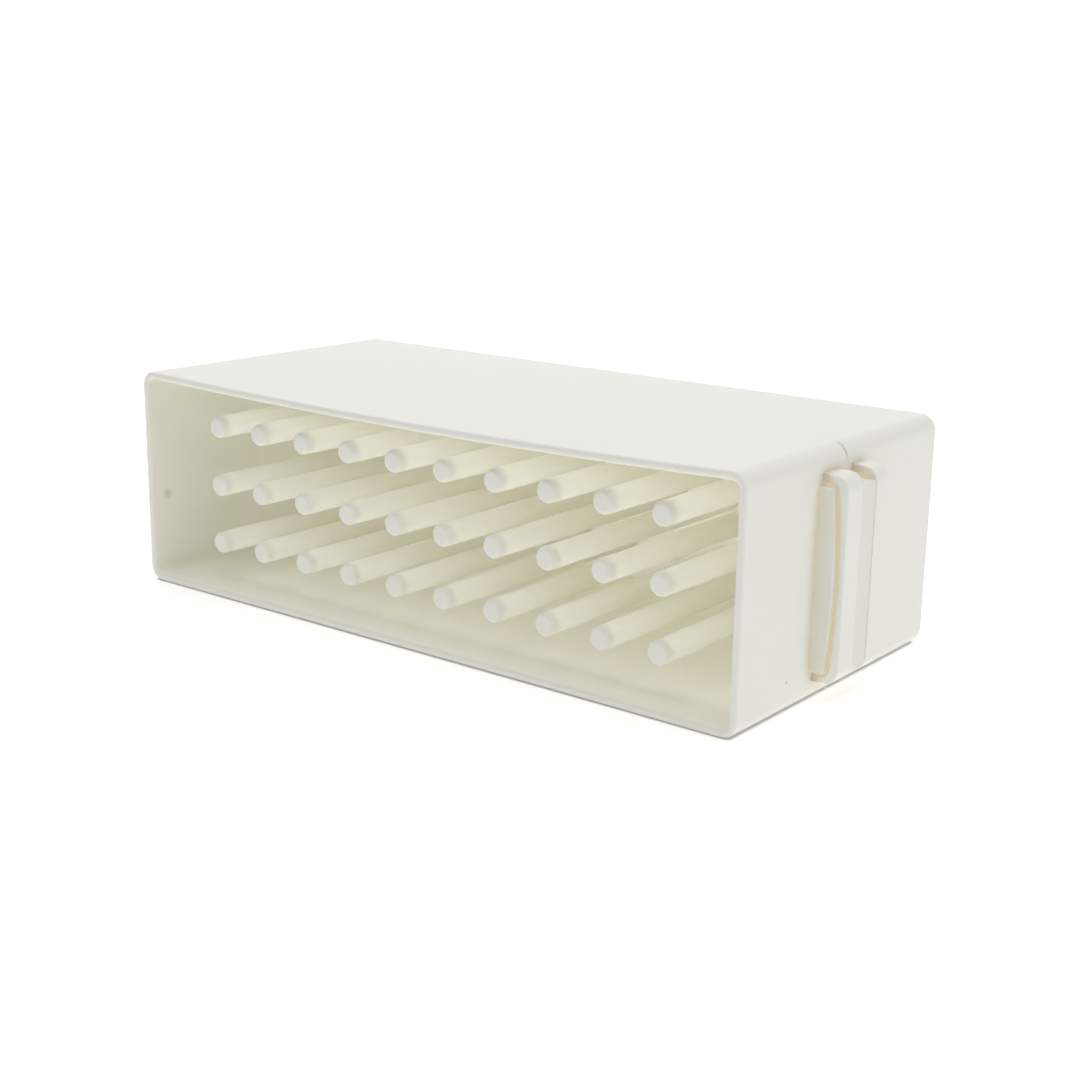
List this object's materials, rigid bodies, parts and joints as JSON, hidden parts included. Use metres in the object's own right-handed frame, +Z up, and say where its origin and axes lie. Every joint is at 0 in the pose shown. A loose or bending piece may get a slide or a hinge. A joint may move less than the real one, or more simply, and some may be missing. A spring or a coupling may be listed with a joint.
{
  "type": "soap loaf mould",
  "caption": "Rectangular two-part loaf mould: an open collar drops over a lipped tub with a grid of straight core pins, held by a bow-sided locking key at each end.",
  "frame": {"origin": "under the middle of the box, on the surface it lies on (the outer face of the lower long wall)", "axes": "+X along the loaf's length, +Y from the open mouth towards the tub's base, +Z up across the mould's width as it lies on one long side"},
  "size_m": [0.2566, 0.1106, 0.0735],
  "materials": {
    "collar_print": "matte ivory print, fine layer lines",
    "tub_print": "matte ivory print, fine layer lines",
    "pin_print": "matte ivory print, fine layer lines around the pin",
    "key_print": "matte ivory print, fine layer lines"
  },
  "bodies": {
    "tub": {"base_tub": "tub_print", "base_loop_left": "tub_print", "base_loop_right": "tub_print", "core_pin_r1_c1": "pin_print", "core_pin_r1_c2": "pin_print", "core_pin_r1_c3": "pin_print", "core_pin_r1_c4": "pin_print", "core_pin_r1_c5": "pin_print", "core_pin_r1_c6": "pin_print", "core_pin_r1_c7": "pin_print", "core_pin_r1_c8": "pin_print", "core_pin_r1_c9": "pin_print", "core_pin_r1_c10": "pin_print", "core_pin_r2_c1": "pin_print", "core_pin_r2_c2": "pin_print", "core_pin_r2_c3": "pin_print", "core_pin_r2_c4": "pin_print", "core_pin_r2_c5": "pin_print", "core_pin_r2_c6": "pin_print", "core_pin_r2_c7": "pin_print", "core_pin_r2_c8": "pin_print", "core_pin_r2_c9": "pin_print", "core_pin_r2_c10": "pin_print", "core_pin_r3_c1": "pin_print", "core_pin_r3_c2": "pin_print", "core_pin_r3_c3": "pin_print", "core_pin_r3_c4": "pin_print", "core_pin_r3_c5": "pin_print", "core_pin_r3_c6": "pin_print", "core_pin_r3_c7": "pin_print", "core_pin_r3_c8": "pin_print", "core_pin_r3_c9": "pin_print", "core_pin_r3_c10": "pin_print"},
    "collar": {"collar_frame": "collar_print", "collar_loop_left": "collar_print", "collar_loop_right": "collar_print"},
    "key_left": {"locking_key_left": "key_print"},
    "key_right": {"locking_key_right": "key_print"}
  },
  "joints": [
    {"name": "collar_slide", "type": "slide", "parent": "tub", "child": "collar", "axis": [0, -1, 0], "range_m": [0, 0.06]},
    {"name": "key_left_slide", "type": "slide", "parent": "tub", "child": "key_left", "axis": [0, -1, 0], "range_m": [0, 0.018]},
    {"name": "key_right_slide", "type": "slide", "parent": "tub", "child": "key_right", "axis": [0, -1, 0], "range_m": [0, 0.018]}
  ],
  "couplings": [
    {"joint": "key_left_slide", "follows": "collar_slide", "ratio": 0.3},
    {"joint": "key_right_slide", "follows": "collar_slide", "ratio": 0.3}
  ]
}
